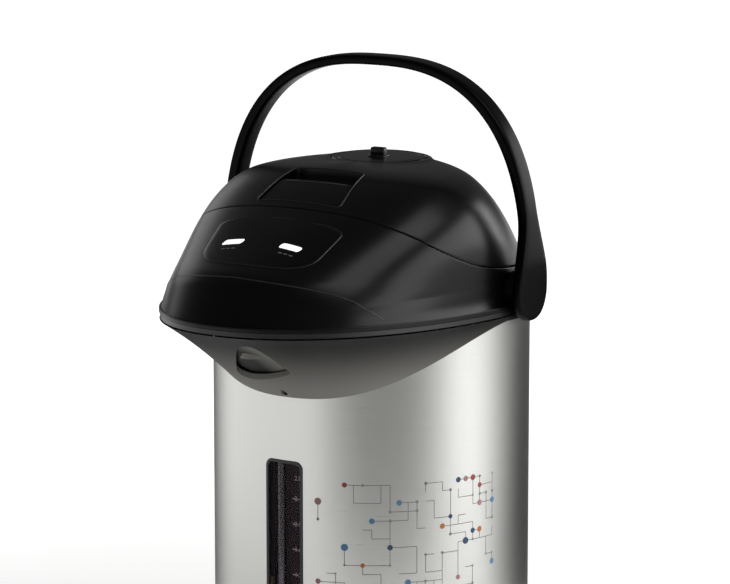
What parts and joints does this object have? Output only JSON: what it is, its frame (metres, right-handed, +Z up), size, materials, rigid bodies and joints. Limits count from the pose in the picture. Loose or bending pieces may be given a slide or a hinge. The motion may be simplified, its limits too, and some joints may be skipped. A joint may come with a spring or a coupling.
{
  "type": "electric thermo pot",
  "caption": "Cylindrical electric hot-water pot with a hooded spout, sloping lamp panel, hinged lid, air pump, level window, bail handle and swivel base.",
  "frame": {"origin": "middle of the base's flat underside, on the surface that the pot stands on", "axes": "+Z up along the casing, -Y towards the spout, +X to the right hand side seen from behind the spout's opposite side"},
  "size_m": [0.224, 0.286, 0.414],
  "materials": {
    "rubber": "satin black rubber",
    "base_plastic": "textured dark plastic",
    "plain_steel": "plain stainless steel",
    "board": "green circuit board",
    "black_satin": "satin black plastic",
    "brass": "plated contact pins",
    "ceramic": "ceramic and fired clay",
    "mica": "mica heater",
    "steel_casing": "satin silver steel with fine grain",
    "pale_plastic": "natural white polypropylene",
    "clear_window": "clear moulded window",
    "gauge_glass": "clear glass tube",
    "plum_plate": "dark plum printed plate",
    "nozzle_grey": "grey plastic",
    "spout_grey": "satin dark grey plastic",
    "black_gloss": "glossy black moulded plastic",
    "panel_black": "glossy black panel sheet",
    "lamp_white": "white translucent lamp lens"
  },
  "bodies": {
    "base": {"non_slip_pad": "rubber", "swivel_plate": "base_plastic", "swivel_washer": "plain_steel"},
    "pot": {"base_pan": "base_plastic", "base_screws": "plain_steel", "power_board": "board", "power_inlet": "black_satin", "inlet_pins": "brass", "inlet_magnets": "plain_steel", "heat_shield": "plain_steel", "thermostat": "ceramic", "thermal_fuse": "ceramic", "disc_heater": "mica", "band_heater": "mica", "inner_container": "plain_steel", "outer_casing": "steel_casing", "collar": "pale_plastic", "window_frame": "black_satin", "window_lens": "clear_window", "scale_plate": "plum_plate", "gauge_elbow": "pale_plastic", "gauge_tube": "gauge_glass", "spout_pipe": "pale_plastic", "spout_nozzle": "nozzle_grey", "spout_cover": "spout_grey", "cover_screw": "black_satin", "rim_trim": "black_satin", "shoulder_cover": "black_gloss", "control_panel": "panel_black", "lamp_lenses": "lamp_white", "lamp_board": "board", "pivot_hubs": "black_satin", "pivot_pins": "plain_steel", "hinge_bracket": "black_satin", "hinge_pin": "plain_steel", "latch_catch": "plain_steel"},
    "handle": {"handle": "black_gloss"},
    "lid": {"lid_shell": "black_gloss", "lid_underplate": "pale_plastic", "lid_hinge": "black_satin", "lid_plug": "pale_plastic", "lid_gasket": "rubber", "latch_pin": "plain_steel", "pump_guide": "pale_plastic", "bellows": "pale_plastic", "pump_spring": "plain_steel", "air_valve": "rubber"},
    "latch": {"latch_lever": "black_gloss"},
    "pump": {"pump_plate": "black_gloss", "pump_rod": "pale_plastic"},
    "knob": {"lock_knob": "black_satin"}
  },
  "joints": [
    {"name": "base_swivel", "type": "hinge", "parent": "base", "child": "pot", "pos_m": [0, 0, 0.005], "axis": [0, 0, 1], "continuous": true},
    {"name": "handle_swing", "type": "hinge", "parent": "pot", "child": "handle", "pos_m": [0, 0.009, 0.274], "axis": [1, 0, 0], "range_deg": [-95, 55]},
    {"name": "lid_open", "type": "hinge", "parent": "pot", "child": "lid", "pos_m": [0, 0.097, 0.284], "axis": [-1, 0, 0], "range_deg": [0, 14]},
    {"name": "latch_lift", "type": "hinge", "parent": "lid", "child": "latch", "pos_m": [0, -0.08403, 0.33177], "axis": [1, 0, 0], "range_deg": [0, 12], "stiffness_Nm_per_rad": 0.05},
    {"name": "pump_press", "type": "slide", "parent": "lid", "child": "pump", "axis": [0, 0, -1], "range_m": [0, 0.018], "stiffness_N_per_m": 600, "deforming": ["bellows", "pump_spring"]},
    {"name": "lock_turn", "type": "hinge", "parent": "pump", "child": "knob", "pos_m": [0, 0.009, 0.3498], "axis": [0, 0, 1], "range_deg": [0, 90]}
  ]
}
